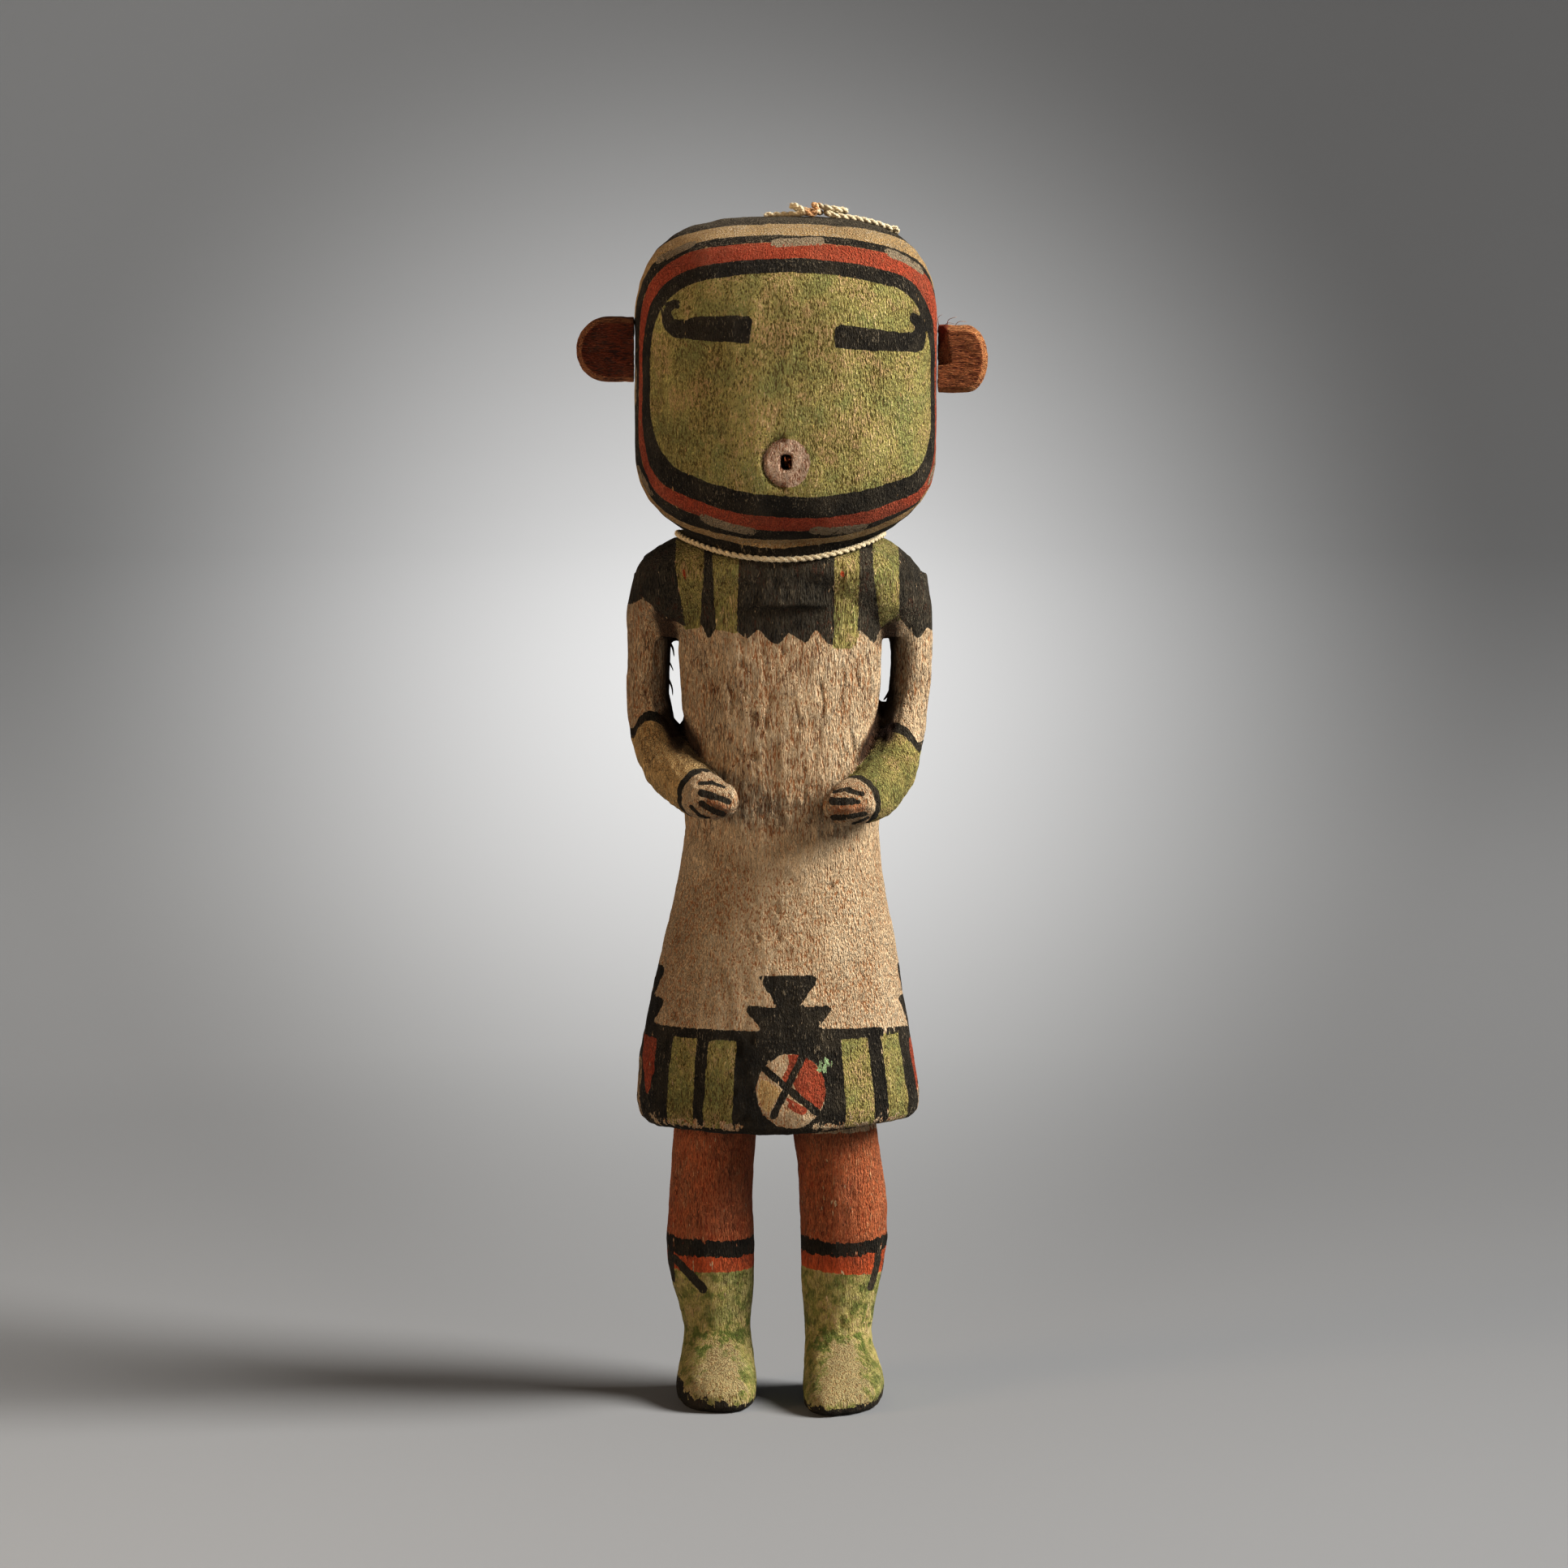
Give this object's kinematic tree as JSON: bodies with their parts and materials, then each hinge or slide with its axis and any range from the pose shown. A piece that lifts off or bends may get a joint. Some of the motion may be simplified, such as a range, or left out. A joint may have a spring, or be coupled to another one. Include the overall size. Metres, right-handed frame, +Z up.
{
  "type": "kachina doll",
  "caption": "Carved and painted standing wooden doll with a domed helmet head, tab ears, bent arms, flared dress, booted legs, a string round the neck and a knotted cord on the crown.",
  "frame": {"origin": "on the ground, at the centre of the doll's bounding box seen from above, crown cord left out", "axes": "+Z up along the standing doll, front of the doll towards -Y, +X to the right as seen from the front"},
  "size_m": [0.1085, 0.0685, 0.3187],
  "materials": {
    "painted_wood": "matte earth pigments on bare carved wood: tan, green, black and brick red",
    "ear_wood": "matte red-brown stained wood",
    "broken_wood": "raw broken wood, dark",
    "cotton_string": "twisted undyed cotton, slightly soiled"
  },
  "bodies": {
    "root": {"figure": "painted_wood", "left_ear": "ear_wood", "right_ear": "ear_wood", "mouth_peg": "broken_wood", "neck_cord": "cotton_string", "crown_cord": "cotton_string"}
  },
  "joints": []
}
